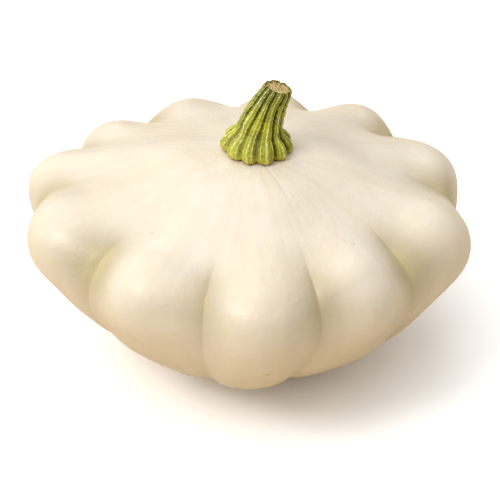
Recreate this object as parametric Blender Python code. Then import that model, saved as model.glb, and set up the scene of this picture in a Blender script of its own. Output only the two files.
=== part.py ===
"""A white pattypan squash: the scalloped fruit and the cut stem that stands on it.

Metres, +Z up. The origin is the centre of the flat at the blossom end, on which the squash rests.
Azimuths are in degrees, from the front (-Y) towards the right (+X), and latitudes run from 90 at
the stem, through 0 at the widest level, to -90 at the blossom end.
"""

import math

import bmesh
import bpy
import numpy as np

MM = 0.001

# Fruit: an egg-like outline turned about Z, thinner above its widest level than below it.
RIM_HEIGHT = 47.9 * MM  # the widest level, above the table
CROWN_RISE = 24.5 * MM  # from the widest level up to the crown
BELLY_DROP = 48.8 * MM  # from the widest level down to the blossom end, before it is flattened
CROWN_TAPER = 0.95  # power of cos(latitude) that gives the radius: below 1 is fuller, above 1 is leaner
BELLY_TAPER = 0.92
TURN = 1.08  # how quickly the crown's curve becomes the belly's at the widest level
SEAT_DROP = 0.2 * MM  # the crown is levelled this far below its top, as a seat for the stem

# Each lobe, from the one at the front towards the right: the azimuth of the fold on its left, how
# far that fold slants to the right on its way under the squash, how deep it is against the others,
# the distance that the lobe reaches from the axis, and how far its tip is lifted.
LOBES = (
    (-12.5, -1.5, 0.74, 73.0 * MM, -0.2 * MM),
    (17.8, -6.6, 0.76, 69.5 * MM, -1.3 * MM),
    (48.8, -3.6, 0.94, 72.1 * MM, 1.5 * MM),
    (89.7, 0.7, 0.88, 73.3 * MM, 0.7 * MM),
    (128.3, 2.0, 1.07, 74.2 * MM, 2.2 * MM),
    (159.7, -1.0, 1.05, 75.3 * MM, 0.9 * MM),
    (185.6, 1.0, 0.91, 74.9 * MM, 0.1 * MM),
    (217.3, 0.0, 0.98, 74.5 * MM, -0.4 * MM),
    (242.9, -2.0, 0.71, 77.5 * MM, 0.1 * MM),
    (270.2, 0.9, 0.76, 73.9 * MM, 2.1 * MM),
    (310.7, -1.8, 1.01, 68.4 * MM, -0.6 * MM),
)
FOLDS, SLANTS, FOLD_SHARES, REACHES, LIFTS = np.array(LOBES).T

# Depths of the relief, each with its span: three shares of the way from the stem to the blossom
# end, where the effect starts, where it is at its height and where it is gone.
VALLEY_DEPTH = 3.5 * MM  # the broad valley between two lobes
VALLEY_SPAN = (0.12, 0.39, 0.76)
CREASE_DEPTH = 3.8 * MM  # the crease at the bottom of a valley, before it is rounded
CREASE_SPAN = (0.21, 0.38, 0.68)
HEM_DEPTH = 4.8 * MM  # the groove in which a fold runs on underneath, before it is rounded
HEM_SPAN = (0.50, 0.76, 0.97)
SADDLE_DEPTH = 3.2 * MM  # the dip that rings the crown inside the lobes
SADDLE_SPAN = (0.07, 0.23, 0.39)
NOSE_BULGE = 2.5 * MM  # how far the end of a lobe stands out
NOSE_SPAN = (0.33, 0.49, 0.65)
SLANT_START, SLANT_END = 0.48, 0.78  # shares between which the folds slant
CREASE_ROUND = 0.97  # share of a lobe's half width past which the crease's bottom is rounded
HEM_ROUND = 0.85

# Stem: a ribbed stalk with a wide foot, which leans to the right and is cut off at a slant.
STEM_CENTRE = (1.7 * MM, 0.9 * MM)
STEM_GAP = 0.3 * MM  # clearance under the foot
STEM_HEIGHT = 21.9 * MM
STEM_LEAN = 6.7 * MM  # sideways travel of the axis, which grows with the square of the height
CUT_TILT = 18.0  # degrees that the cut face leans to the right
FOOT_RADIUS = 11.4 * MM
NECK_RADIUS = 8.7 * MM  # the radius that the stalk would have at the crown if it had no foot
TIP_RADIUS = 4.5 * MM
FOOT_TOP = 0.25  # share of the height where the foot narrows to the neck
FOOT_SOFTNESS = 0.07  # share of the height over which it does so
RIBS = 11
FIRST_RIB = -8.0  # degrees from +X towards +Y of the first rib
RIB_SHARE = 0.07  # height of a rib, as a share of the radius there

# Mesh fineness
LOBE_STEPS = 10
RINGS = 28
RIB_STEPS = 5
STEM_RINGS = 11

SKIN_COLOUR = (0.86, 0.80, 0.66, 1.0)
STEM_COLOUR = (0.21, 0.25, 0.05, 1.0)


def ease(t):
    """Smooth step from 0 to 1, with level and straight ends."""
    t = np.clip(t, 0.0, 1.0)
    return t**3 * (t * (6.0 * t - 15.0) + 10.0)


def window(share, span):
    """Rises from 0 to 1 and falls back to 0 over the three shares in span."""
    start, peak, gone = span
    return ease((share - start) / (peak - start)) * (1.0 - ease((share - peak) / (gone - peak)))


def outline(latitude):
    """Radius as a share of the lobe's reach, and height above the widest level."""
    sine = np.sin(latitude)
    cosine = np.clip(np.cos(latitude), 0.0, 1.0)
    upper = 0.5 + 0.5 * np.tanh(TURN * sine) / math.tanh(TURN)
    radius = cosine ** (BELLY_TAPER + (CROWN_TAPER - BELLY_TAPER) * upper)
    height = sine * (BELLY_DROP + (CROWN_RISE - BELLY_DROP) * upper)
    return radius, height


def outward(latitude):
    """Unit normal of the outline, as its radial and vertical parts, for a fruit of mean reach."""
    step = 0.005
    above = np.minimum(latitude + step, math.pi / 2)
    below = np.maximum(latitude - step, -math.pi / 2)
    radius_above, height_above = outline(above)
    radius_below, height_below = outline(below)
    radial = height_above - height_below
    vertical = (radius_below - radius_above) * REACHES.mean()
    length = np.hypot(radial, vertical)
    return radial / length, vertical / length


def across(values, widths, lobe, place):
    """Blends from one lobe's value to the next: place runs from -1 to 1 across the lobe."""
    other = np.where(place < 0, lobe - 1, lobe + 1) % len(values)
    away = np.abs(place) * widths[lobe] / (widths[lobe] + widths[other])
    blend = 0.5 - 0.5 * np.cos(math.pi * away)
    return values[lobe] * (1.0 - blend) + values[other] * blend


def notch(place, rounded):
    """Depth, as a share, of the groove between two arcs that meet at place -1 and 1.

    Past the share rounded of the half width the arcs level off, which rounds the groove's bottom.
    """
    size = np.abs(place)
    past = np.clip(size - rounded, 0.0, None) / (1.0 - rounded)
    held = size - 0.5 * (1.0 - rounded) * past**2
    return 1.0 - np.sqrt(1.0 - held**2)


def fruit_points(lobe, place, latitude):
    """Points on the skin: the turned outline, pushed along its normal by folds, noses and saddle."""
    share = 0.5 - latitude / math.pi
    starts, slants = np.radians(FOLDS), np.radians(SLANTS)
    widths = np.diff(np.append(starts, starts[0] + 2 * math.pi))
    turns = np.diff(np.append(slants, slants[0]))
    slanted = ease((share - SLANT_START) / (SLANT_END - SLANT_START))
    left = starts[lobe] + slants[lobe] * slanted
    azimuth = left + (widths[lobe] + turns[lobe] * slanted) * (place + 1.0) / 2.0
    reach = across(REACHES, widths, lobe, place)
    lift = across(LIFTS, widths, lobe, place)

    wave = np.cos(math.pi * place / 2) ** 2
    fold = VALLEY_DEPTH * window(share, VALLEY_SPAN) * (1.0 - wave)
    fold = fold + CREASE_DEPTH * window(share, CREASE_SPAN) * notch(place, CREASE_ROUND)
    fold = fold + HEM_DEPTH * window(share, HEM_SPAN) * notch(place, HEM_ROUND)
    fold = fold * np.where(place < 0, FOLD_SHARES[lobe], FOLD_SHARES[(lobe + 1) % len(LOBES)])
    push = NOSE_BULGE * window(share, NOSE_SPAN) * wave - SADDLE_DEPTH * window(share, SADDLE_SPAN) - fold

    radius, height = outline(latitude)
    radial, vertical = outward(latitude)
    r = radius * reach + radial * push
    z = RIM_HEIGHT + height + lift * radius**2 + vertical * push
    z = np.clip(z, 0.0, RIM_HEIGHT + CROWN_RISE - SEAT_DROP)
    return np.stack([r * np.sin(azimuth), -r * np.cos(azimuth), z], axis=-1)


def stem_points(turn, share):
    """Points on the stem at an angle round it and a share of its height, 0 at the foot."""
    foot = 0.5 - 0.5 * np.tanh((share - FOOT_TOP) / FOOT_SOFTNESS)
    radius = NECK_RADIUS + (TIP_RADIUS - NECK_RADIUS) * share + (FOOT_RADIUS - NECK_RADIUS) * foot
    radius = radius * (1.0 + RIB_SHARE * np.cos(RIBS * (turn - math.radians(FIRST_RIB))))
    tilt = math.radians(CUT_TILT) * share
    along = radius * np.cos(turn)
    x = STEM_CENTRE[0] + STEM_LEAN * share**2 + along * np.cos(tilt)
    y = STEM_CENTRE[1] + radius * np.sin(turn)
    base = RIM_HEIGHT + CROWN_RISE - SEAT_DROP + STEM_GAP
    z = base + STEM_HEIGHT * share - along * np.sin(tilt)
    return np.stack([x, y, z], axis=-1)


def material(name, colour, roughness):
    made = bpy.data.materials.new(name)
    made.use_nodes = True
    shader = made.node_tree.nodes["Principled BSDF"]
    shader.inputs["Base Color"].default_value = colour
    shader.inputs["Roughness"].default_value = roughness
    shader.inputs["Metallic"].default_value = 0.0
    return made


def place_object(name, bm, points, finish, collection):
    """Moves the vertices to their points and puts the mesh in the scene as a smooth object."""
    for vertex, point in zip(bm.verts, points):
        vertex.co = point
    bmesh.ops.recalc_face_normals(bm, faces=bm.faces)
    mesh = bpy.data.meshes.new(name)
    bm.to_mesh(mesh)
    bm.free()
    mesh.shade_smooth()
    mesh.set_sharp_from_angle(angle=math.radians(50))
    mesh.materials.append(finish)
    made = bpy.data.objects.new(name, mesh)
    collection.objects.link(made)
    return made


def make_fruit(collection):
    """A UV sphere whose meridians are shared out over the lobes, closer together near the folds."""
    segments = LOBE_STEPS * len(LOBES)
    bm = bmesh.new()
    bmesh.ops.create_uvsphere(bm, u_segments=segments, v_segments=RINGS, radius=1.0)
    ball = np.array([vertex.co for vertex in bm.verts])
    meridian = np.rint(np.arctan2(ball[:, 0], -ball[:, 1]) / (2 * math.pi) * segments).astype(int) % segments
    lobe = meridian // LOBE_STEPS
    place = np.sin(math.pi / 2 * (2.0 * (meridian % LOBE_STEPS) / LOBE_STEPS - 1.0))
    latitude = np.arcsin(np.clip(ball[:, 2], -1.0, 1.0))
    points = fruit_points(lobe, place, latitude)
    return place_object("fruit", bm, points, material("squash_skin", SKIN_COLOUR, 0.4), collection)


def make_stem(collection):
    """A closed cylinder, cut into rings along its height and drawn into the ribbed stalk."""
    bm = bmesh.new()
    bmesh.ops.create_cone(
        bm, cap_ends=True, segments=RIBS * RIB_STEPS, radius1=1.0, radius2=1.0, depth=1.0
    )
    upright = [edge for edge in bm.edges if abs(edge.verts[0].co.z - edge.verts[1].co.z) > 0.5]
    bmesh.ops.subdivide_edges(bm, edges=upright, cuts=STEM_RINGS - 1)
    tube = np.array([vertex.co for vertex in bm.verts])
    points = stem_points(np.arctan2(tube[:, 1], tube[:, 0]), tube[:, 2] + 0.5)
    return place_object("stem", bm, points, material("stem_rind", STEM_COLOUR, 0.5), collection)


def main():
    for old in list(bpy.data.objects):
        bpy.data.objects.remove(old, do_unlink=True)
    collection = bpy.data.collections.new("pattypan_squash")
    bpy.context.scene.collection.children.link(collection)
    make_fruit(collection)
    make_stem(collection)


if __name__ == "__main__":
    main()
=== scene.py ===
"""Dresses a white pattypan squash: its scalloped skin, its ribbed stem and a plain pale studio.

Laid out as an add-on: each piece has an operator, and the sidebar's panel holds their sizes and
colours. Metres, +Z up; azimuths run from the front (-Y) towards the right (+X).
"""

import math

import bpy
import numpy as np
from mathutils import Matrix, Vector


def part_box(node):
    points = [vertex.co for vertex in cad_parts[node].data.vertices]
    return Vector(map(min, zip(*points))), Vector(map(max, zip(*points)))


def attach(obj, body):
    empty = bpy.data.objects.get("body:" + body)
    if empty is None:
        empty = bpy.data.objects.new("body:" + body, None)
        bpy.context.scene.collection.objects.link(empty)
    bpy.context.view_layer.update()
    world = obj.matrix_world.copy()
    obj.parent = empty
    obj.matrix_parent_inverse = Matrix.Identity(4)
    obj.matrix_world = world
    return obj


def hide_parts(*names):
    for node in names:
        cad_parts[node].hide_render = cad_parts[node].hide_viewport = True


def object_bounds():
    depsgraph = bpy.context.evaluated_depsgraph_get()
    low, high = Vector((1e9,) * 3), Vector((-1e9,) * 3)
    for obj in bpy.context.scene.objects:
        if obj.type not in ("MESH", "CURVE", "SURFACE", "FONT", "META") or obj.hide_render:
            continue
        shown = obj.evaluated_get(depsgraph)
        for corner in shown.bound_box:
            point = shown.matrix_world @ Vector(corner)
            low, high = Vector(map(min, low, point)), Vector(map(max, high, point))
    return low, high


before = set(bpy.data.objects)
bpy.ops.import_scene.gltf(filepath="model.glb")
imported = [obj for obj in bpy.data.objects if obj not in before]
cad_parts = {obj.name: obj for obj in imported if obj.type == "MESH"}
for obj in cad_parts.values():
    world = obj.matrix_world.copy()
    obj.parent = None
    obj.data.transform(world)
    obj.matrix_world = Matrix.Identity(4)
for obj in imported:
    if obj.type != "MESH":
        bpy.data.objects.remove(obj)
CAD_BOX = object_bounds()
FRUIT_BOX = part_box("fruit")
STEM_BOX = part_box("stem")

bl_info = {
    "name": "Pattypan Squash",
    "version": (1, 0, 0),
    "blender": (4, 5, 0),
    "location": "3D View > Sidebar > Squash",
    "description": "Grows a scalloped summer squash with a ribbed stem and sets it in a plain studio",
    "category": "Add Mesh",
}

MM = 0.001

# Each lobe, from the one at the front towards the right: the azimuth in degrees of the fold on its
# left, how far that fold slants to the right on its way under the squash, how deep it is against
# the others, how far the lobe reaches from the axis, and how far its tip is lifted.
LOBES = np.array(
    (
        (-12.5, -1.5, 0.74, 73.0 * MM, -0.2 * MM),
        (17.8, -6.6, 0.76, 69.5 * MM, -1.3 * MM),
        (48.8, -3.6, 0.94, 72.1 * MM, 1.5 * MM),
        (89.7, 0.7, 0.88, 73.3 * MM, 0.7 * MM),
        (128.3, 2.0, 1.07, 74.2 * MM, 2.2 * MM),
        (159.7, -1.0, 1.05, 75.3 * MM, 0.9 * MM),
        (185.6, 1.0, 0.91, 74.9 * MM, 0.1 * MM),
        (217.3, 0.0, 0.98, 74.5 * MM, -0.4 * MM),
        (242.9, -2.0, 0.71, 77.5 * MM, 0.1 * MM),
        (270.2, 0.9, 0.76, 73.9 * MM, 2.1 * MM),
        (310.7, -1.8, 1.01, 68.4 * MM, -0.6 * MM),
    )
)
FOLD_AZIMUTH, FOLD_SLANT, FOLD_SHARE, LOBE_REACH, LOBE_LIFT = LOBES.T
FOLD_AZIMUTH, FOLD_SLANT = np.radians(FOLD_AZIMUTH), np.radians(FOLD_SLANT)
MEAN_REACH = LOBE_REACH.mean()

# The outline's powers of cos(latitude) above and below the widest level, and how quickly the one
# passes to the other.
CROWN_TAPER, BELLY_TAPER, TAPER_TURN = 0.95, 0.92, 1.08

# Height of the widest level, as a share of the fruit's.
WIDEST = 0.68

# Spans of an effect along a meridian, as shares of the way from the stem to the blossom end:
# where it starts, where it is at its height, and where it is gone.
VALLEY_SPAN = (0.12, 0.39, 0.76)
CREASE_SPAN = (0.21, 0.38, 0.68)
HEM_SPAN = (0.50, 0.76, 0.97)
SADDLE_SPAN = (0.07, 0.23, 0.39)
NOSE_SPAN = (0.33, 0.49, 0.65)
SLANT_SPAN = (0.48, 0.78)

# Shares of a lobe's half width past which the bottom of a crease and of a hem is rounded.
CREASE_ROUND, HEM_ROUND = 0.97, 0.85

# How much is taken off the belly to rest on, and off the crown to seat the stem.
BELLY_FLAT, CROWN_FLAT = 0.9 * MM, 0.2 * MM

# The blossom scar: the radius of its middle, the width of its slope, its depth, and the height
# under which a point belongs to the underside.
SCAR_MIDDLE, SCAR_SLOPE, SCAR_DEPTH = 2 * MM, 4.5 * MM, 0.8 * MM
UNDERSIDE = 10 * MM

# The fine pleats round the stem: how many there are, their share of the height, and their phase.
PLEATS = ((9, 1.0, 0.6), (17, 0.7, 2.1), (31, 0.5, 4.0))
PLEAT_HEIGHT = 0.02 * MM
PLEAT_START, PLEAT_RISE = 8 * MM, 5 * MM
PLEAT_FADE_START, PLEAT_FADE = 10 * MM, 16 * MM

# The small crease that runs out from the stem: azimuth, width and depth.
CROWN_CREASE_AZIMUTH, CROWN_CREASE_WIDTH, CROWN_CREASE_DEPTH = math.radians(22.0), 0.7 * MM, 0.30 * MM

# The middle of the stem's foot, from the near left corner of the stem's box.
STEM_MIDDLE_X, STEM_MIDDLE_Y = 12.1 * MM, 11.7 * MM

# Shares of the stem's height at which the foot passes into the neck, over which it does so, and
# over which its toes turn in to the crown.
FOOT_TOP, FOOT_FADE, TOE_SHARE = 0.25, 0.07, 0.10

# How far the toes turn in, and the shares of it by which a groove does so and a rib does so less.
TUCK_DEPTH, GROOVE_TUCK, RIB_TUCK = 1.5 * MM, 1.3, 0.5

# Height of a rib at the neck, and what the foot adds to it, as shares of the rib height.
NECK_RIB, FOOT_RIB = 0.9, 1.5

# Each rib of the stem: its azimuth in degrees, how strongly it stands out, where the groove after
# it lies (below 1 nearer to this rib, above 1 nearer to the next one), and how wide its line is.
RIBS = np.array(
    (
        (-88.0, 1.0, 1.0, 0.10),
        (-53.0, 0.8, 1.2, 0.16),
        (-17.0, 1.15, 0.9, 0.13),
        (17.0, 1.1, 1.3, 0.09),
        (47.0, 0.95, 0.85, 0.15),
        (82.0, 0.9, 1.1, 0.10),
        (115.0, 1.0, 1.0, 0.12),
        (148.0, 0.9, 1.25, 0.10),
        (181.0, 1.0, 0.9, 0.14),
        (213.0, 0.95, 1.1, 0.10),
        (243.0, 1.1, 1.0, 0.12),
    )
)

# The mean height between groove and crest, and the share of it that is the raised pale lines.
MEAN_RIB, LINE_RELIEF = 0.45, 0.15

# The two thinner lines beside each crest: strength, how far on towards the next rib, and width.
SIDE_LINE = (0.85, 0.29, 0.035)
THREAD_LINE = (0.65, 0.74, 0.025)

# Small marks on the skin: azimuth in degrees, share of the way from stem to blossom end, radius.
MARKS = (
    (-41.0, 0.235, 0.7 * MM),
    (-44.0, 0.43, 0.6 * MM),
    (4.0, 0.60, 1.6 * MM),
    (37.0, 0.26, 0.6 * MM),
    (72.0, 0.30, 0.8 * MM),
    (151.0, 0.27, 0.9 * MM),
    (203.0, 0.52, 0.8 * MM),
    (288.0, 0.55, 0.7 * MM),
)

# Tones of the small things on the skin, on the rind, in the cut and in the floor. The pale specks on the
# rind also stand in for painted glints.
BAND_TONE, STREAK_TONE = (0.735, 0.615, 0.425), (0.90, 0.82, 0.60)
SPECK_TONE, MARK_TONE, SCAR_TONE = (0.62, 0.50, 0.26), (0.55, 0.42, 0.16), (0.36, 0.26, 0.12)
NECK_TONE, SPECK_GLINT_TONE, FOOT_EDGE_TONE = (0.09, 0.12, 0.004), (0.94, 0.92, 0.58), (0.50, 0.24, 0.04)
DRY_TONE, FIBRE_TONE, PORE_TONE = (0.42, 0.26, 0.09), (0.96, 0.80, 0.40), (0.25, 0.13, 0.05)
FLECK_TONE = (0.88, 0.88, 0.88)

# Where each lamp hangs from the squash's middle, how far to the side the camera aims, and half of
# the floor's width.
KEY_PLACE, GLOW_PLACE, FILL_PLACE = (-0.36, 0.06, 0.31), (-0.30, -0.16, 0.36), (0.40, 0.08, 0.22)
AIM_SIDEWAYS = -0.65 * MM
FLOOR_HALF = 3.0


# ---------------------------------------------------------------- settings


class FruitSettings(bpy.types.PropertyGroup):
    """Sizes and colours of the fruit."""

    crown_rise: bpy.props.FloatProperty(
        name="Crown rise",
        description="Height of the crown above the widest level",
        default=24.5 * MM,
        unit="LENGTH",
    )
    belly_drop: bpy.props.FloatProperty(
        name="Belly drop",
        description="Depth of the blossom end below the widest level, before it is flattened",
        default=48.8 * MM,
        unit="LENGTH",
    )
    valley_depth: bpy.props.FloatProperty(
        name="Valley depth",
        description="Depth of the broad valley between two lobes",
        default=3.5 * MM,
        unit="LENGTH",
    )
    crease_depth: bpy.props.FloatProperty(
        name="Crease depth",
        description="Depth of the crease at the bottom of a valley, before it is rounded",
        default=3.8 * MM,
        unit="LENGTH",
    )
    hem_depth: bpy.props.FloatProperty(
        name="Hem depth",
        description="Depth of the groove in which a fold runs on underneath, before it is rounded",
        default=4.8 * MM,
        unit="LENGTH",
    )
    saddle_depth: bpy.props.FloatProperty(
        name="Saddle depth",
        description="Depth of the shallow dip that rings the crown inside the lobes",
        default=3.2 * MM,
        unit="LENGTH",
    )
    nose_bulge: bpy.props.FloatProperty(
        name="Nose bulge",
        description="How far the end of a lobe stands out",
        default=2.5 * MM,
        unit="LENGTH",
    )
    unevenness: bpy.props.FloatProperty(
        name="Unevenness",
        description="Height of the broad, shallow swellings of the skin",
        default=0.30 * MM,
        unit="LENGTH",
    )
    pale: bpy.props.FloatVectorProperty(
        name="Pale skin",
        description="Colour of the palest skin",
        default=(0.79, 0.71, 0.595),
        subtype="COLOR",
        size=3,
    )
    cream: bpy.props.FloatVectorProperty(
        name="Cream skin",
        description="Colour of the warmer clouds in the skin",
        default=(0.745, 0.632, 0.46),
        subtype="COLOR",
        size=3,
    )
    # The two fold colours are painted shade: the valleys between the lobes are darkened, and warmer and
    # darker still where they are deepest.
    fold_shade: bpy.props.FloatVectorProperty(
        name="Fold shade",
        description="Colour of the duller skin in the valleys between the lobes",
        default=(0.46, 0.37, 0.20),
        subtype="COLOR",
        size=3,
    )
    fold_depth_shade: bpy.props.FloatVectorProperty(
        name="Fold tint",
        description="Yellow tint deep in the folds",
        default=(0.66, 0.55, 0.24),
        subtype="COLOR",
        size=3,
    )


class StemSettings(bpy.types.PropertyGroup):
    """Sizes and colours of the stem."""

    foot_radius: bpy.props.FloatProperty(
        name="Foot radius",
        description="Radius of the foot between its toes",
        default=11.5 * MM,
        unit="LENGTH",
    )
    neck_radius: bpy.props.FloatProperty(
        name="Neck radius",
        description="Radius that the stalk would have at the crown if it had no foot",
        default=8.7 * MM,
        unit="LENGTH",
    )
    tip_radius: bpy.props.FloatProperty(
        name="Tip radius",
        description="Radius at the cut",
        default=4.4 * MM,
        unit="LENGTH",
    )
    lean: bpy.props.FloatProperty(
        name="Lean",
        description="Sideways travel of the axis from the foot to the cut",
        default=6.7 * MM,
        unit="LENGTH",
    )
    cut_tilt: bpy.props.FloatProperty(
        name="Cut tilt",
        description="Slope of the cut face, down to the right",
        default=math.radians(18.0),
        unit="ROTATION",
    )
    rib_height: bpy.props.FloatProperty(
        name="Rib height",
        description="How far a rib stands out at the neck",
        default=0.8 * MM,
        unit="LENGTH",
    )
    # The groove green is partly the rind's own darker green and partly painted shade deep between the ribs.
    valley: bpy.props.FloatVectorProperty(
        name="Groove green",
        description="Colour deep between the ribs",
        default=(0.042, 0.043, 0.001),
        subtype="COLOR",
        size=3,
    )
    flank: bpy.props.FloatVectorProperty(
        name="Flank green",
        description="Colour of the ribs' sides",
        default=(0.28, 0.295, 0.005),
        subtype="COLOR",
        size=3,
    )
    lime: bpy.props.FloatVectorProperty(
        name="Lime green",
        description="Colour of the brighter patches",
        default=(0.58, 0.59, 0.010),
        subtype="COLOR",
        size=3,
    )
    scurf: bpy.props.FloatVectorProperty(
        name="Scurf",
        description="Grey-brown of the dry patches in the grooves",
        default=(0.15, 0.11, 0.03),
        subtype="COLOR",
        size=3,
    )
    crest: bpy.props.FloatVectorProperty(
        name="Line colour",
        description="Pale colour of the lines along the ribs",
        default=(0.98, 0.95, 0.50),
        subtype="COLOR",
        size=3,
    )
    foot: bpy.props.FloatVectorProperty(
        name="Foot colour",
        description="Yellow-brown at the very foot",
        default=(0.60, 0.48, 0.04),
        subtype="COLOR",
        size=3,
    )
    # Painted light: the foot is made lighter and yellower on its front-left side, which faces the key light.
    lit_foot: bpy.props.FloatVectorProperty(
        name="Ripe side",
        description="Yellow-green of the side of the foot that ripened first",
        default=(0.76, 0.74, 0.14),
        subtype="COLOR",
        size=3,
    )
    cut: bpy.props.FloatVectorProperty(
        name="Cut face",
        description="Colour of the dry pith at the cut",
        default=(0.80, 0.60, 0.25),
        subtype="COLOR",
        size=3,
    )


class StudioSettings(bpy.types.PropertyGroup):
    """Camera, lights and floor."""

    camera_distance: bpy.props.FloatProperty(
        name="Camera distance",
        description="Distance from the lens to the point that it looks at",
        default=0.4475,
        unit="LENGTH",
    )
    camera_elevation: bpy.props.FloatProperty(
        name="Camera elevation",
        description="Height of the view above the horizon",
        default=math.radians(32.57),
        unit="ROTATION",
    )
    aim_height: bpy.props.FloatProperty(
        name="Aim height",
        description="Height of the point that the camera looks at",
        default=33.4 * MM,
        unit="LENGTH",
    )
    lens: bpy.props.FloatProperty(
        name="Focal length",
        description="Focal length of the lens",
        default=93.3,
        unit="CAMERA",
    )
    key_light: bpy.props.FloatProperty(
        name="Key light",
        description="Strength of the broad light at the upper left",
        default=1.93,
    )
    key_spread: bpy.props.FloatProperty(
        name="Key spread",
        description="Angle that the broad light and the fill light each take up, seen from the squash",
        default=math.radians(120.0),
        unit="ROTATION",
    )
    glow_light: bpy.props.FloatProperty(
        name="Glow light",
        description="Strength of the smaller light that draws soft highlights on the lobes",
        default=0.9,
    )
    glow_spread: bpy.props.FloatProperty(
        name="Glow spread",
        description="Angle that the smaller light takes up, seen from the squash",
        default=math.radians(24.0),
        unit="ROTATION",
    )
    fill_light: bpy.props.FloatProperty(
        name="Fill light",
        description="Strength of the weak broad light from the right",
        default=0.30,
    )
    room_light: bpy.props.FloatProperty(
        name="Room light",
        description="Strength of the even white light from overhead",
        default=0.79,
    )
    horizon_light: bpy.props.FloatProperty(
        name="Horizon light",
        description="Strength of the even white light from the sides",
        default=0.10,
    )
    floor_colour: bpy.props.FloatVectorProperty(
        name="Floor",
        description="Colour of the floor",
        default=(1.25, 1.25, 1.25),
        subtype="COLOR",
        size=3,
        soft_max=2.0,
    )
    floor_bounce: bpy.props.FloatVectorProperty(
        name="Floor bounce",
        description="Colour of the light that the floor throws back on the squash",
        default=(0.755, 0.635, 0.462),
        subtype="COLOR",
        size=3,
    )


# ---------------------------------------------------------------- surfaces


def ease(t):
    """Smooth step from 0 to 1, with level and straight ends: 6t^5 - 15t^4 + 10t^3."""
    t = np.clip(t, 0.0, 1.0)
    return t**3 * (t * (6.0 * t - 15.0) + 10.0)


def window(share, span):
    """Rises from 0 to 1 and falls back to 0 over the three shares in span."""
    start, peak, gone = span
    return ease((share - start) / (peak - start)) * (1.0 - ease((share - peak) / (gone - peak)))


def swells(points, wavelength, seed, count=24):
    """Broad soft noise of about unit height: the mean of sine waves in seeded directions."""
    draws = np.random.default_rng(seed)
    ways = draws.normal(size=(count, 3))
    ways /= np.linalg.norm(ways, axis=1, keepdims=True)
    lengths = wavelength * draws.uniform(0.7, 1.6, count)
    phases = draws.uniform(0.0, 2 * math.pi, count)
    waves = np.sin(points @ (ways * (2 * math.pi / lengths)[:, None]).T + phases)
    return waves.sum(axis=-1) / math.sqrt(count / 2)


def closed_skin(name, grid):
    """A mesh from a grid of points, rows by columns: columns wrap round, and each end is closed.

    The first and last rows are poles: all their points are the same, and one of them is kept.
    """
    rows, columns = grid.shape[:2]
    points = np.concatenate([grid[:1, 0], grid[1:-1].reshape(-1, 3), grid[-1:, 0]])
    column = np.arange(columns)
    after = (column + 1) % columns
    first = 1 + np.arange(rows - 3)[:, None] * columns
    quads = np.stack(
        [first + column, first + columns + column, first + columns + after, first + after], axis=-1
    ).reshape(-1, 4)
    top = np.stack([np.zeros_like(column), 1 + column, 1 + after], axis=-1)
    last_row = 1 + (rows - 3) * columns
    end = np.full_like(column, len(points) - 1)
    bottom = np.stack([end, last_row + after, last_row + column], axis=-1)
    mesh = bpy.data.meshes.new(name)
    mesh.from_pydata(points, [], [*top.tolist(), *quads.tolist(), *bottom.tolist()])
    mesh.shade_smooth()
    return mesh


def point_values(mesh, name, grid):
    """Stores a value for each point of closed_skin's grid as a named attribute."""
    values = np.concatenate([grid[:1, 0], grid[1:-1].reshape(-1), grid[-1:, 0]])
    mesh.attributes.new(name, "FLOAT", "POINT").data.foreach_set("value", values.astype(np.float32))


def add_piece(mesh, body, node):
    """Puts a mesh in the scene as the piece that stands for a node."""
    piece = bpy.data.objects.new(mesh.name, mesh)
    bpy.context.scene.collection.objects.link(piece)
    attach(piece, body)
    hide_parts(node)


def outline(latitude, settings):
    """The fruit's outline: radius as a share of the reach, and height above the widest level.

    The radius is a power of cos(latitude) and the height follows sin(latitude); the power and the
    height's scale pass from the belly's to the crown's along a tanh of the latitude's sine.
    """
    sine = np.sin(latitude)
    cosine = np.clip(np.cos(latitude), 0.0, 1.0)
    upper = 0.5 + 0.5 * np.tanh(TAPER_TURN * sine) / math.tanh(TAPER_TURN)
    radius = cosine ** (BELLY_TAPER + (CROWN_TAPER - BELLY_TAPER) * upper)
    height = sine * (settings.belly_drop + (settings.crown_rise - settings.belly_drop) * upper)
    return radius, height


def notch(place, rounded):
    """Depth, as a share, of a groove at place -1 and 1 between two arcs, with a rounded bottom.

    The depth is 1 - sqrt(1 - p^2), where p is place's size, held back past the value rounded so
    that it levels off at the fold.
    """
    size = np.abs(place)
    past = np.clip(size - rounded, 0.0, None) / (1.0 - rounded)
    held = size - 0.5 * (1.0 - rounded) * past**2
    return 1.0 - np.sqrt(1.0 - held**2)


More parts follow.
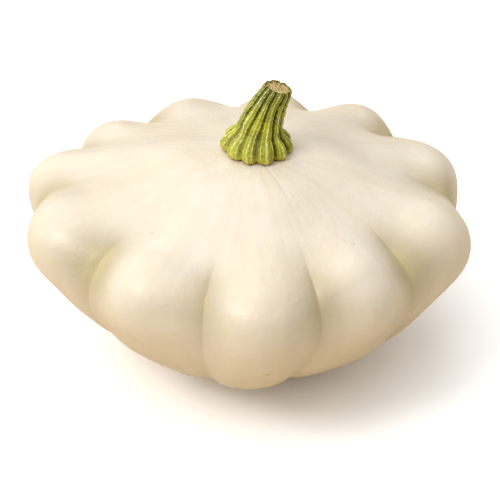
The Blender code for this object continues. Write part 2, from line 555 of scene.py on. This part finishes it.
def fruit_surface(lobe, place, latitude, settings):
    """Points of the skin, and how deep each lies in a fold.

    Each column has a lobe and a place across it, from -1 to 1. A turned outline reaches out by
    each lobe's own amount, blended from lobe to lobe by a cosine. It is then pushed along its
    normal: in at the folds, by a broad cosine valley, by a crease and, lower down, by a hem, which
    are grooves between round arcs; in along a shallow ring on the crown; and out at each lobe's
    nose. Broad noise and fine pleats that fan out from the stem are added.
    """
    count = len(LOBES)
    share = 0.5 - latitude / math.pi
    slant_start, slant_end = SLANT_SPAN
    slanted = FOLD_AZIMUTH + FOLD_SLANT * ease((share - slant_start) / (slant_end - slant_start))
    widths = np.roll(slanted, -1, axis=1) - slanted
    widths[:, -1] += 2 * math.pi
    azimuth = slanted[:, lobe] + widths[:, lobe] * (place + 1.0) / 2.0
    other = np.where(place < 0, lobe - 1, lobe + 1) % count
    away = np.abs(place) * widths[:1, lobe] / (widths[:1, lobe] + widths[:1, other])
    blend = 0.5 - 0.5 * np.cos(math.pi * away)
    reach = LOBE_REACH[lobe] * (1.0 - blend) + LOBE_REACH[other] * blend
    lift = LOBE_LIFT[lobe] * (1.0 - blend) + LOBE_LIFT[other] * blend

    wave = np.cos(math.pi * place / 2) ** 2
    valley = settings.valley_depth * window(share, VALLEY_SPAN) * (1.0 - wave)
    crease = settings.crease_depth * window(share, CREASE_SPAN) * notch(place, CREASE_ROUND)
    hem = settings.hem_depth * window(share, HEM_SPAN) * notch(place, HEM_ROUND)
    fold_share = np.where(place < 0, FOLD_SHARE[lobe], FOLD_SHARE[(lobe + 1) % count])
    fold = fold_share * (valley + crease + hem)
    nose = settings.nose_bulge * window(share, NOSE_SPAN) * wave
    saddle = settings.saddle_depth * window(share, SADDLE_SPAN)

    radius, height = outline(latitude, settings)
    run = np.gradient(radius[:, 0]) * MEAN_REACH
    rise = np.gradient(height[:, 0])
    length = np.hypot(run, rise)
    radial, vertical = (-rise / length)[:, None], (run / length)[:, None]
    out_x, out_y = np.sin(azimuth), -np.cos(azimuth)

    plain = radius * reach
    smooth = np.stack([plain * out_x, plain * out_y, height + 0.0 * azimuth], axis=-1)
    push = nose - fold - saddle + settings.unevenness * swells(smooth, 24 * MM, seed=5)
    push = push + pleats(azimuth, plain)
    from_axis = plain + radial * push
    z = height + lift * radius**2 + vertical * push
    deepest = settings.valley_depth + settings.crease_depth
    return np.stack([from_axis * out_x, from_axis * out_y, z], axis=-1), fold / deepest


def pleats(azimuth, radius):
    """Fine pleats that fan out from the stem, the sum of three sines, and one small crease.

    Both set in at the stem's foot and fade with the distance from it by an exponential.
    """
    near = ease((radius - PLEAT_START) / PLEAT_RISE) * np.exp(-((radius - PLEAT_FADE_START) / PLEAT_FADE))
    fans = sum(share * np.sin(count * azimuth + phase) for count, share, phase in PLEATS)
    crease = np.exp(-(((azimuth - CROWN_CREASE_AZIMUTH) * radius / CROWN_CREASE_WIDTH) ** 2))
    return PLEAT_HEIGHT * fans * near - CROWN_CREASE_DEPTH * crease * near


def grow_fruit(settings):
    """The fruit's mesh, level at the blossom end and under the stem, with a dished blossom scar."""
    steps, rows = 34, 231
    lobe = np.repeat(np.arange(len(LOBES)), steps)
    place = np.sin(math.pi / 2 * np.tile(np.arange(steps) * 2.0 / steps - 1.0, len(LOBES)))
    latitude = np.linspace(math.pi / 2, -math.pi / 2, rows)[:, None]
    points, fold = fruit_surface(lobe, place, latitude, settings)
    points[0], points[-1] = points[0].mean(axis=0), points[-1].mean(axis=0)
    drop, rise = settings.belly_drop - BELLY_FLAT, settings.crown_rise - CROWN_FLAT
    points[..., 2] = np.clip(points[..., 2], -drop, rise) + drop
    from_axis = np.hypot(points[..., 0], points[..., 1])
    under = points[..., 2] < FRUIT_BOX[0].z + UNDERSIDE
    scar = under * (1.0 - ease((from_axis - SCAR_MIDDLE) / SCAR_SLOPE))
    points[..., 2] += SCAR_DEPTH * scar
    mesh = closed_skin("fruit_skin", points)
    point_values(mesh, "fold", fold)
    point_values(mesh, "scar", scar)
    return mesh


def mark_places(mesh):
    """Centre and radius of each mark: the point nearest to its place on a plain round outline."""
    points = np.empty(len(mesh.vertices) * 3)
    mesh.vertices.foreach_get("co", points)
    points = points.reshape(-1, 3)
    places = []
    for azimuth, share, radius in MARKS:
        turn, latitude = math.radians(azimuth), math.pi * (0.5 - share)
        reach = MEAN_REACH * math.cos(latitude)
        span = 1.0 - WIDEST if share < 0.5 else WIDEST
        height = FRUIT_BOX[1].z * (WIDEST + span * math.sin(latitude))
        target = np.array([reach * math.sin(turn), -reach * math.cos(turn), height])
        places.append((tuple(points[np.linalg.norm(points - target, axis=1).argmin()]), radius))
    return places


def thin_line(along, strength, place, width):
    """A bell curve across a thin line that runs along a rib."""
    return strength * np.exp(-(((along - place) / width) ** 2))


def ribbing(turn, share):
    """How high the surface stands between groove (0) and crest (1), and where the pale lines run.

    Across a rib the height is a parabola, so that ribs are round and meet in sharp grooves. A
    strong line runs along each crest, a thinner one beside it and a fine thread before the next
    rib, and all are bell curves. The ribs sway by two small sines as they climb.
    """
    sway = 0.12 * np.sin(2.0 * turn + 1.0) * share + 0.04 * np.sin(9.0 * share + 3.0 * turn)
    turned = turn + sway
    azimuths = np.radians(RIBS[:, 0])
    turned = (turned - azimuths[0]) % (2 * math.pi) + azimuths[0]
    rib = np.clip(np.searchsorted(azimuths, turned, side="right") - 1, 0, len(RIBS) - 1)
    following = (rib + 1) % len(RIBS)
    widths = np.diff(np.append(azimuths, azimuths[0] + 2 * math.pi))
    along = np.clip((turned - azimuths[rib]) / widths[rib], 0.0, 1.0) ** RIBS[rib, 2]
    away = 2.0 * np.minimum(along, 1.0 - along)
    strength = RIBS[rib, 1] * (1.0 - along) + RIBS[following, 1] * along
    width = np.where(along < 0.5, RIBS[rib, 3], RIBS[following, 3])
    crest = thin_line(away, strength, 0.0, width)
    beside = thin_line(along, SIDE_LINE[0] * strength, *SIDE_LINE[1:])
    lines = np.maximum(np.maximum(crest, beside), thin_line(along, *THREAD_LINE))
    return (1.0 - LINE_RELIEF) * strength * (1.0 - away**2) + LINE_RELIEF * lines, lines


def stem_surface(turn, share, settings):
    """Points on the stem's side for an azimuth and a share of its height.

    The radius narrows from foot to neck along a tanh and then straight to the tip; ribs stand on
    it, taller at the foot, where they end in toes that turn in along a quarter circle. Each level
    is a ring about an axis that leans with the square of the height, tilted more and more until
    it meets the slanted cut.
    """
    foot = 0.5 - 0.5 * np.tanh((share - FOOT_TOP) / FOOT_FADE)
    radius = settings.neck_radius + (settings.tip_radius - settings.neck_radius) * share
    radius = radius + (settings.foot_radius - settings.neck_radius) * foot
    ribs, lines = ribbing(turn, share)
    height = settings.rib_height * (NECK_RIB + FOOT_RIB * foot)
    above_toe = np.clip(share / TOE_SHARE, 0.0, 1.0)
    tuck = TUCK_DEPTH * (1.0 - np.sqrt(1.0 - (1.0 - above_toe) ** 2))
    radius = radius + height * (ribs - MEAN_RIB) - tuck * (GROOVE_TUCK - RIB_TUCK * ribs)
    low, high = STEM_BOX
    rise = (high.z - low.z) - settings.tip_radius * math.sin(settings.cut_tilt)
    tilt = settings.cut_tilt * share
    along = radius * np.sin(turn)
    x = low.x + STEM_MIDDLE_X + settings.lean * share**2 + along * np.cos(tilt)
    y = low.y + STEM_MIDDLE_Y - radius * np.cos(turn)
    z = low.z + rise * share - along * np.sin(tilt)
    return np.stack([x, y, z], axis=-1), ribs, lines


def torn_lip(turn, top_ribs):
    """Width of the rind at the cut, as a share of the radius, and how high it is torn.

    Both grow towards the far left by a cosine. The tear is higher on the ribs as well, and goes up
    and down by a sine of eight waves.
    """
    far_left = 0.5 - 0.5 * np.cos(turn + math.radians(50.0))
    on_ribs = 0.16 * MM * (0.5 + top_ribs)
    return 0.10 + 0.16 * far_left, on_ribs + 0.55 * MM * far_left * (0.6 + 0.4 * np.sin(8.0 * turn))


def cut_face(rim, centre, reach, lip, tear):
    """Rings of the cut face from its rim to its centre, where they meet in a point.

    The face sinks inside the rim by a smooth step, with noise for its fibres, and the torn lip
    stands on it by the root of the way into the rind. reach is each ring's share of the radius.
    """
    face = centre + (rim - centre) * reach[..., None]
    fibres = swells(face, 1.2 * MM, seed=3)
    dish = -0.35 * MM * ease((1.0 - reach) / 0.30) + 0.12 * MM * fibres * ease((1.0 - reach) / 0.2)
    face[..., 2] += dish + tear * lip**0.5
    face[-1] = face[-1].mean(axis=0)
    return face


def grow_stem(settings):
    """The stem's mesh: underside, ribbed side, a thin green lip and the dry cut face in it."""
    columns, rows, face_rows, lip_rows, under_rows = 330, 160, 25, 10, 7
    turn = np.linspace(-math.pi, math.pi, columns, endpoint=False)[None, :]
    share = (np.linspace(0.0, 1.0, rows) ** 1.25)[:, None]
    side, ribs, lines = stem_surface(turn + 0.0 * share, share + 0.0 * turn, settings)
    centre_low, centre_high = side[0].mean(axis=0), side[-1].mean(axis=0)
    outward = side - side.mean(axis=1, keepdims=True)
    outward /= np.linalg.norm(outward, axis=-1, keepdims=True)
    coarse = 0.14 * MM * swells(side, 5.0 * MM, seed=11)
    fine = 0.06 * MM * swells(side, 1.3 * MM, seed=12)
    side = side + (coarse + fine)[..., None] * outward

    # The share of the radius falls from the rim to the centre, and lip from 1 to 0 over the rind.
    reach = np.linspace(1.0, 0.0, face_rows + 1)[1:, None]
    lip_width, tear = torn_lip(turn, ribs[-1])
    lip = np.clip(1.0 - (1.0 - reach) / lip_width, 0.0, 1.0)
    face = cut_face(side[-1], centre_high, reach, lip, tear[0])

    # The top of the side climbs to the torn lip and rounds over into it.
    climb = np.linspace(0.0, 1.0, lip_rows)[:, None]
    side[-lip_rows:, :, 2] += tear[0] * climb**2
    side[-lip_rows:] -= 0.35 * MM * outward[-lip_rows:] * climb[..., None] ** 3
    under_reach = np.linspace(0.0, 1.0, under_rows + 1)[:-1, None, None]
    under = centre_low + (side[0] - centre_low) * under_reach
    mesh = closed_skin("cut_stem", np.concatenate([under, side, face])[::-1])

    def stack(along_side, on_face):
        below = np.zeros((under_rows, columns))
        return np.concatenate([below, along_side + 0.0 * ribs, on_face + 0.0 * lip])[::-1]

    point_values(mesh, "rib", stack(ribs, ribs[-1] * lip))
    point_values(mesh, "line", stack(lines, lines[-1] * lip))
    point_values(mesh, "rise", stack(share, 1.0))
    # Painted light on the foot's front-left side, which faces the key light.
    lit_foot = (1.0 - share) ** 3 * (0.5 + 0.5 * np.cos(turn + math.radians(65.0))) ** 2
    point_values(mesh, "lit_foot", stack(lit_foot, 0.0))
    point_values(mesh, "pith", stack(0.0, ease((1.0 - reach) / (lip_width + 0.06))))
    is_cut = np.zeros(len(mesh.polygons), dtype=np.int32)
    is_cut[: columns * face_rows] = 1
    mesh.polygons.foreach_set("material_index", is_cut)
    return mesh


# ---------------------------------------------------------------- materials


def add(tree, kind, inputs=None, **settings):
    """Adds a node, sets its properties, and gives each input a value or a link."""
    made = tree.nodes.new(kind)
    for name, value in settings.items():
        setattr(made, name, value)
    for key, value in (inputs or {}).items():
        if isinstance(value, bpy.types.NodeSocket):
            tree.links.new(value, made.inputs[key])
        else:
            made.inputs[key].default_value = value
    return made


def sums(tree, operation, first, second, clamp=False):
    """Result of one arithmetic step."""
    given = {0: first, 1: second}
    return add(tree, "ShaderNodeMath", given, operation=operation, use_clamp=clamp).outputs[0]


def mix(tree, factor, first, second):
    """Colour mixed from first to second by factor; each is a socket or red, green and blue."""
    given = {0: factor}
    for key, colour in ((6, first), (7, second)):
        given[key] = colour if isinstance(colour, bpy.types.NodeSocket) else (*colour, 1.0)
    return add(tree, "ShaderNodeMix", given, data_type="RGBA").outputs[2]


def tint(tree, colour, mask, share, tone):
    """Colour turned towards a tone by a share of a mask."""
    return mix(tree, sums(tree, "MULTIPLY", mask, share), colour, tone)


def ramp(tree, value, low, high):
    """Value mapped from low..high to a smooth 0..1."""
    given = {"Value": value, "From Min": low, "From Max": high}
    return add(tree, "ShaderNodeMapRange", given, interpolation_type="SMOOTHSTEP").outputs["Result"]


def group(name, inputs, outputs):
    """An empty shader node group with named float or vector inputs and float outputs."""
    tree = bpy.data.node_groups.new(name, "ShaderNodeTree")
    for label, kind, default in inputs:
        socket = tree.interface.new_socket(label, in_out="INPUT", socket_type=kind)
        socket.default_value = default
    for label in outputs:
        tree.interface.new_socket(label, in_out="OUTPUT", socket_type="NodeSocketFloat")
    start = tree.nodes.new("NodeGroupInput")
    end = tree.nodes.new("NodeGroupOutput")
    return tree, start.outputs, end.inputs


def clouds_group():
    """Soft clouds of a given size: a mask from 0 to 1."""
    tree, given, result = group(
        "Clouds",
        (
            ("Vector", "NodeSocketVector", (0.0, 0.0, 0.0)),
            ("Size", "NodeSocketFloat", 0.02),
            ("Detail", "NodeSocketFloat", 2.0),
        ),
        ("Mask",),
    )
    scale = sums(tree, "DIVIDE", 1.0, given["Size"])
    noise = add(
        tree,
        "ShaderNodeTexNoise",
        {"Vector": given["Vector"], "Scale": scale, "Detail": given["Detail"], "Roughness": 0.55},
    )
    tree.links.new(ramp(tree, noise.outputs["Fac"], 0.32, 0.68), result["Mask"])
    return tree


def specks_group():
    """Round specks scattered at random, of a given spacing: a mask that is 1 on a speck."""
    tree, given, result = group(
        "Specks",
        (
            ("Vector", "NodeSocketVector", (0.0, 0.0, 0.0)),
            ("Spacing", "NodeSocketFloat", 0.002),
            ("Width", "NodeSocketFloat", 0.2),
            ("Share", "NodeSocketFloat", 0.3),
        ),
        ("Mask",),
    )
    scale = sums(tree, "DIVIDE", 1.0, given["Spacing"])
    cells = add(tree, "ShaderNodeTexVoronoi", {"Vector": given["Vector"], "Scale": scale})
    away = sums(tree, "DIVIDE", cells.outputs["Distance"], given["Width"])
    near = sums(tree, "SUBTRACT", 1.0, away, clamp=True)
    pick = add(tree, "ShaderNodeSeparateColor", {"Color": cells.outputs["Color"]}).outputs["Red"]
    chosen = sums(tree, "LESS_THAN", pick, given["Share"])
    tree.links.new(sums(tree, "MULTIPLY", near, chosen), result["Mask"])
    return tree


def rays_group():
    """Streaks that fan out from the Z axis: a mask from 0 to 1, stretched along the radius."""
    tree, given, result = group(
        "Rays",
        (
            ("Vector", "NodeSocketVector", (0.0, 0.0, 0.0)),
            ("Count", "NodeSocketFloat", 8.0),
            ("Run", "NodeSocketFloat", 0.03),
        ),
        ("Mask",),
    )
    flat = add(tree, "ShaderNodeVectorMath", {0: given["Vector"], 1: (1.0, 1.0, 0.0)}, operation="MULTIPLY")
    unit = add(tree, "ShaderNodeVectorMath", {0: flat.outputs[0]}, operation="NORMALIZE")
    fan = add(tree, "ShaderNodeVectorMath", {0: unit.outputs[0], "Scale": given["Count"]}, operation="SCALE")
    reach = add(tree, "ShaderNodeVectorMath", {0: flat.outputs[0]}, operation="LENGTH")
    out = sums(tree, "DIVIDE", reach.outputs["Value"], given["Run"])
    lifted = add(tree, "ShaderNodeCombineXYZ", {"Z": out})
    where = add(tree, "ShaderNodeVectorMath", {0: fan.outputs[0], 1: lifted.outputs[0]}, operation="ADD")
    noise = add(tree, "ShaderNodeTexNoise", {"Vector": where.outputs[0], "Scale": 1.0, "Detail": 3.0})
    tree.links.new(ramp(tree, noise.outputs["Fac"], 0.35, 0.65), result["Mask"])
    return tree


def mark_group():
    """A soft round mark about a point: a mask that is 1 at its middle."""
    tree, given, result = group(
        "Mark",
        (
            ("Vector", "NodeSocketVector", (0.0, 0.0, 0.0)),
            ("Centre", "NodeSocketVector", (0.0, 0.0, 0.0)),
            ("Radius", "NodeSocketFloat", 0.001),
        ),
        ("Mask",),
    )
    away = add(tree, "ShaderNodeVectorMath", {0: given["Vector"], 1: given["Centre"]}, operation="DISTANCE")
    share = sums(tree, "DIVIDE", away.outputs["Value"], given["Radius"])
    tree.links.new(ramp(tree, share, 1.0, 0.15), result["Mask"])
    return tree


def effect(tree, name, build, **inputs):
    """Output of the shared effect of that name, which is built the first time it is asked for."""
    shared = bpy.data.node_groups.get(name) or build()
    return add(tree, "ShaderNodeGroup", inputs, node_tree=shared).outputs[0]


def new_material(name):
    """An empty node material: its tree, its shader and its Object coordinates."""
    made = bpy.data.materials.new(name)
    made.use_nodes = True
    tree = made.node_tree
    where = tree.nodes.new("ShaderNodeTexCoord").outputs["Object"]
    return made, tree, tree.nodes["Principled BSDF"], where


def attribute(tree, name):
    """A value that the mesh holds for each point."""
    return add(tree, "ShaderNodeAttribute", attribute_name=name).outputs["Fac"]


def add_bumps(tree, shader, heights):
    """Adds up bumps, each a height and its size in metres, and feeds them to the shader."""
    normal = None
    for height, size in heights:
        given = {"Height": height, "Distance": size, "Strength": 1.0}
        if normal is not None:
            given["Normal"] = normal
        normal = add(tree, "ShaderNodeBump", given).outputs["Normal"]
    tree.links.new(normal, shader.inputs["Normal"])


def skin_material(settings, marks):
    """Satin cream skin: pale and warm clouds, fanned bands and streaks, painted shade in the folds, marks.
    """
    made, tree, shader, where = new_material("squash_skin")
    broad = effect(tree, "Clouds", clouds_group, Vector=where, Size=45 * MM, Detail=2.0)
    fine = effect(tree, "Clouds", clouds_group, Vector=where, Size=9 * MM, Detail=4.0)
    pores = effect(tree, "Clouds", clouds_group, Vector=where, Size=1.1 * MM, Detail=2.0)
    streaks = effect(tree, "Rays", rays_group, Vector=where, Count=14.0, Run=35 * MM)
    bands = effect(tree, "Rays", rays_group, Vector=where, Count=5.0, Run=80 * MM)
    dots = effect(tree, "Specks", specks_group, Vector=where, Spacing=6 * MM, Width=0.09, Share=0.22)
    fold = attribute(tree, "fold")
    scar = attribute(tree, "scar")

    colour = tint(tree, settings.pale, broad, 0.45, settings.cream)
    colour = tint(tree, colour, fine, 0.32, settings.cream)
    colour = tint(tree, colour, bands, 0.30, BAND_TONE)
    colour = tint(tree, colour, streaks, 0.16, STREAK_TONE)
    # Painted shade in the valleys between the lobes, warmer and darker where the folds are deepest.
    colour = tint(tree, colour, ramp(tree, fold, 0.06, 0.70), 0.75, settings.fold_shade)
    colour = tint(tree, colour, ramp(tree, fold, 0.50, 0.85), 0.40, settings.fold_depth_shade)
    colour = tint(tree, colour, dots, 0.55, SPECK_TONE)
    for centre, radius in marks:
        spot = effect(tree, "Mark", mark_group, Vector=where, Centre=centre, Radius=radius)
        colour = tint(tree, colour, spot, 0.65, MARK_TONE)
    colour = tint(tree, colour, scar, 0.8, SCAR_TONE)
    tree.links.new(colour, shader.inputs["Base Color"])

    rough = sums(tree, "ADD", sums(tree, "MULTIPLY", fine, 0.12), 0.29)
    rough = sums(tree, "ADD", rough, sums(tree, "MULTIPLY", scar, 0.4))
    tree.links.new(rough, shader.inputs["Roughness"])
    shader.inputs["Specular IOR Level"].default_value = 0.7
    shader.inputs["Subsurface Weight"].default_value = 0.12
    shader.inputs["Subsurface Radius"].default_value = (1.0, 0.7, 0.35)
    shader.inputs["Subsurface Scale"].default_value = 2 * MM
    add_bumps(tree, shader, ((streaks, 0.03 * MM), (fine, 0.14 * MM), (pores, 0.02 * MM)))
    return made


def rind_material(settings):
    """Green rind: dark grooves that are partly painted shade, bright flanks, pale beaded lines, specks that
    also stand in for painted glints, brown scurf, a yellow foot and painted light on the foot's front-left
    side.
    """
    made, tree, shader, where = new_material("stem_rind")
    rib, line, rise = (attribute(tree, name) for name in ("rib", "line", "rise"))
    patches = effect(tree, "Clouds", clouds_group, Vector=where, Size=7 * MM, Detail=3.0)
    grain = effect(tree, "Clouds", clouds_group, Vector=where, Size=1.1 * MM, Detail=4.0)
    specks = effect(tree, "Specks", specks_group, Vector=where, Spacing=0.9 * MM, Width=0.42, Share=0.28)

    roughened = sums(tree, "MULTIPLY", sums(tree, "SUBTRACT", grain, 0.5), 0.32)
    uneven = sums(tree, "ADD", rib, roughened)
    # Darker towards the grooves: partly the rind's own colour, partly painted shade.
    colour = mix(tree, ramp(tree, uneven, 0.14, 0.85), settings.valley, settings.flank)
    bright = sums(tree, "MULTIPLY", patches, ramp(tree, uneven, 0.15, 0.60))
    colour = tint(tree, colour, bright, 0.75, settings.lime)
    colour = tint(tree, colour, ramp(tree, rise, 0.55, 1.0), 0.55, NECK_TONE)
    dull = sums(tree, "MULTIPLY", ramp(tree, uneven, 0.55, 0.0), ramp(tree, patches, 0.75, 0.2))
    colour = tint(tree, colour, dull, 0.4, settings.scurf)
    beads = sums(tree, "ADD", sums(tree, "MULTIPLY", grain, 0.75), 0.25)
    beaded = sums(tree, "MULTIPLY", ramp(tree, line, 0.15, 0.65), beads)
    colour = tint(tree, colour, beaded, 0.95, settings.crest)
    # Pale specks on the ribs, which also stand in for painted glints.
    dots = sums(tree, "MULTIPLY", specks, ramp(tree, rib, 0.25, 0.8))
    colour = tint(tree, colour, dots, 0.75, SPECK_GLINT_TONE)
    colour = tint(tree, colour, ramp(tree, rise, 0.14, 0.0), 0.7, settings.foot)
    # Painted light on the foot's front-left side.
    colour = tint(tree, colour, attribute(tree, "lit_foot"), 0.75, settings.lit_foot)
    colour = tint(tree, colour, ramp(tree, rise, 0.035, 0.0), 0.7, FOOT_EDGE_TONE)
    tree.links.new(colour, shader.inputs["Base Color"])
    rough = sums(tree, "SUBTRACT", 0.40, sums(tree, "MULTIPLY", rib, 0.16))
    tree.links.new(rough, shader.inputs["Roughness"])
    shader.inputs["Specular IOR Level"].default_value = 0.10
    add_bumps(tree, shader, ((grain, 0.30 * MM), (specks, 0.18 * MM), (line, 0.15 * MM)))
    return made


def pith_material(settings):
    """Dry cut face: tan fibre with brown pores inside a green rim."""
    made, tree, shader, where = new_material("stem_pith")
    pith, rib = attribute(tree, "pith"), attribute(tree, "rib")
    patches = effect(tree, "Clouds", clouds_group, Vector=where, Size=2.6 * MM, Detail=4.0)
    grain = effect(tree, "Clouds", clouds_group, Vector=where, Size=0.7 * MM, Detail=4.0)
    pores = effect(tree, "Specks", specks_group, Vector=where, Spacing=1.0 * MM, Width=0.40, Share=0.45)
    colour = tint(tree, settings.cut, patches, 0.65, DRY_TONE)
    colour = tint(tree, colour, grain, 0.55, FIBRE_TONE)
    colour = tint(tree, colour, pores, 0.55, PORE_TONE)
    # The rim's green is darker between the ribs, partly painted shade as on the side.
    green = mix(tree, rib, settings.valley, settings.lime)
    colour = mix(tree, ramp(tree, pith, 0.35, 0.85), green, colour)
    tree.links.new(colour, shader.inputs["Base Color"])
    rough = sums(tree, "ADD", 0.7, sums(tree, "MULTIPLY", grain, 0.2))
    tree.links.new(rough, shader.inputs["Roughness"])
    shader.inputs["Specular IOR Level"].default_value = 0.10
    add_bumps(tree, shader, ((patches, 0.5 * MM), (grain, 0.4 * MM)))
    return made


# ---------------------------------------------------------------- operators


class SQUASH_OT_grow_fruit(bpy.types.Operator):
    """Grow the scalloped fruit and its cream skin"""

    bl_idname = "squash.grow_fruit"
    bl_label = "Grow fruit"

    def execute(self, context):
        settings = context.scene.squash_fruit
        mesh = grow_fruit(settings)
        mesh.materials.append(skin_material(settings, mark_places(mesh)))
        add_piece(mesh, "root", "fruit")
        return {"FINISHED"}


class SQUASH_OT_grow_stem(bpy.types.Operator):
    """Grow the ribbed stem with its slanted cut"""

    bl_idname = "squash.grow_stem"
    bl_label = "Grow stem"

    def execute(self, context):
        settings = context.scene.squash_stem
        mesh = grow_stem(settings)
        mesh.materials.append(rind_material(settings))
        mesh.materials.append(pith_material(settings))
        add_piece(mesh, "root", "stem")
        return {"FINISHED"}


class SQUASH_OT_set_stage(bpy.types.Operator):
    """Lay the pale floor and set the lights and the camera"""

    bl_idname = "squash.set_stage"
    bl_label = "Set stage"

    def execute(self, context):
        settings = context.scene.squash_studio
        lay_floor(settings)
        light_room(settings)
        place_camera(settings)
        return {"FINISHED"}


def lay_floor(settings):
    """A wide level sheet just under the squash, whose light on the squash is warmer than its look."""
    corners = ((-1, -1), (1, -1), (1, 1), (-1, 1))
    level = CAD_BOX[0].z
    mesh = bpy.data.meshes.new("floor")
    mesh.from_pydata([(x * FLOOR_HALF, y * FLOOR_HALF, level) for x, y in corners], [], [(0, 1, 2, 3)])
    made, tree, shader, where = new_material("floor_paper")
    fleck = effect(tree, "Clouds", clouds_group, Vector=where, Size=4 * MM, Detail=2.0)
    colour = tint(tree, settings.floor_colour, fleck, 0.02, FLECK_TONE)
    seen = tree.nodes.new("ShaderNodeLightPath").outputs["Is Camera Ray"]
    colour = mix(tree, seen, settings.floor_bounce, colour)
    tree.links.new(colour, shader.inputs["Base Color"])
    shader.inputs["Roughness"].default_value = 0.9
    shader.inputs["Specular IOR Level"].default_value = 0.1
    mesh.materials.append(made)
    floor = bpy.data.objects.new("floor", mesh)
    bpy.context.scene.collection.objects.link(floor)


def light_room(settings):
    """White room light that is strongest overhead, and three soft lamps.

    The lens sees the room as plain white, so the floor has no edge.
    """
    scene = bpy.context.scene
    world = bpy.data.worlds.new("studio_world")
    world.use_nodes = True
    tree = world.node_tree
    direction = tree.nodes.new("ShaderNodeTexCoord").outputs["Generated"]
    upward = add(tree, "ShaderNodeSeparateXYZ", {0: direction}).outputs["Z"]
    given = {"Value": upward, "To Min": settings.horizon_light, "To Max": settings.room_light}
    overhead = add(tree, "ShaderNodeMapRange", given, interpolation_type="SMOOTHSTEP").outputs["Result"]
    seen = tree.nodes.new("ShaderNodeLightPath").outputs["Is Camera Ray"]
    background = tree.nodes["Background"].inputs
    tree.links.new(sums(tree, "MAXIMUM", overhead, seen), background["Strength"])
    background["Color"].default_value = (1.0, 1.0, 1.0, 1.0)
    scene.world = world
    scene.view_settings.view_transform = "Standard"
    hang_lamp("key_light", settings.key_light, settings.key_spread, KEY_PLACE)
    hang_lamp("glow_light", settings.glow_light, settings.glow_spread, GLOW_PLACE)
    hang_lamp("fill_light", settings.fill_light, settings.key_spread, FILL_PLACE)


def hang_lamp(name, strength, spread, away):
    """A distant soft lamp that shines from a point away from the squash's middle."""
    lamp = bpy.data.lights.new(name, "SUN")
    lamp.energy = strength
    lamp.angle = spread
    made = bpy.data.objects.new(name, lamp)
    middle = (CAD_BOX[0] + CAD_BOX[1]) / 2
    made.location = middle + Vector(away)
    aim(made, middle)
    bpy.context.scene.collection.objects.link(made)


def place_camera(settings):
    """The camera, in front of the squash and looking down on its crown."""
    scene = bpy.context.scene
    lens = bpy.data.cameras.new("camera")
    lens.lens = settings.lens
    lens.clip_start = 0.01
    camera = bpy.data.objects.new("camera", lens)
    target = Vector((AIM_SIDEWAYS, 0.0, settings.aim_height))
    level = settings.camera_elevation
    camera.location = target + settings.camera_distance * Vector((0.0, -math.cos(level), math.sin(level)))
    aim(camera, target)
    scene.collection.objects.link(camera)
    scene.camera = camera


def aim(item, target):
    """Turns a lamp or the camera so that it looks at a point."""
    item.rotation_mode = "QUATERNION"
    item.rotation_quaternion = (target - item.location).to_track_quat("-Z", "Y")


class SQUASH_PT_panel(bpy.types.Panel):
    """Sizes, colours and operators of the squash"""

    bl_idname = "SQUASH_PT_panel"
    bl_label = "Pattypan Squash"
    bl_space_type = "VIEW_3D"
    bl_region_type = "UI"
    bl_category = "Squash"

    def draw(self, context):
        for label, name, operator in STEPS:
            box = self.layout.box()
            box.label(text=label)
            settings = getattr(context.scene, name)
            for key in settings.__annotations__:
                box.prop(settings, key)
            box.operator(operator)


STEPS = (
    ("Fruit", "squash_fruit", "squash.grow_fruit"),
    ("Stem", "squash_stem", "squash.grow_stem"),
    ("Studio", "squash_studio", "squash.set_stage"),
)
SETTINGS = {"squash_fruit": FruitSettings, "squash_stem": StemSettings, "squash_studio": StudioSettings}
CLASSES = (
    *SETTINGS.values(),
    SQUASH_OT_grow_fruit,
    SQUASH_OT_grow_stem,
    SQUASH_OT_set_stage,
    SQUASH_PT_panel,
)


def register():
    for item in CLASSES:
        bpy.utils.register_class(item)
    for name, item in SETTINGS.items():
        setattr(bpy.types.Scene, name, bpy.props.PointerProperty(type=item))


def unregister():
    for name in SETTINGS:
        delattr(bpy.types.Scene, name)
    for item in reversed(CLASSES):
        bpy.utils.unregister_class(item)


def main():
    register()
    bpy.ops.squash.grow_fruit()
    bpy.ops.squash.grow_stem()
    bpy.ops.squash.set_stage()


if __name__ == "__main__":
    main()
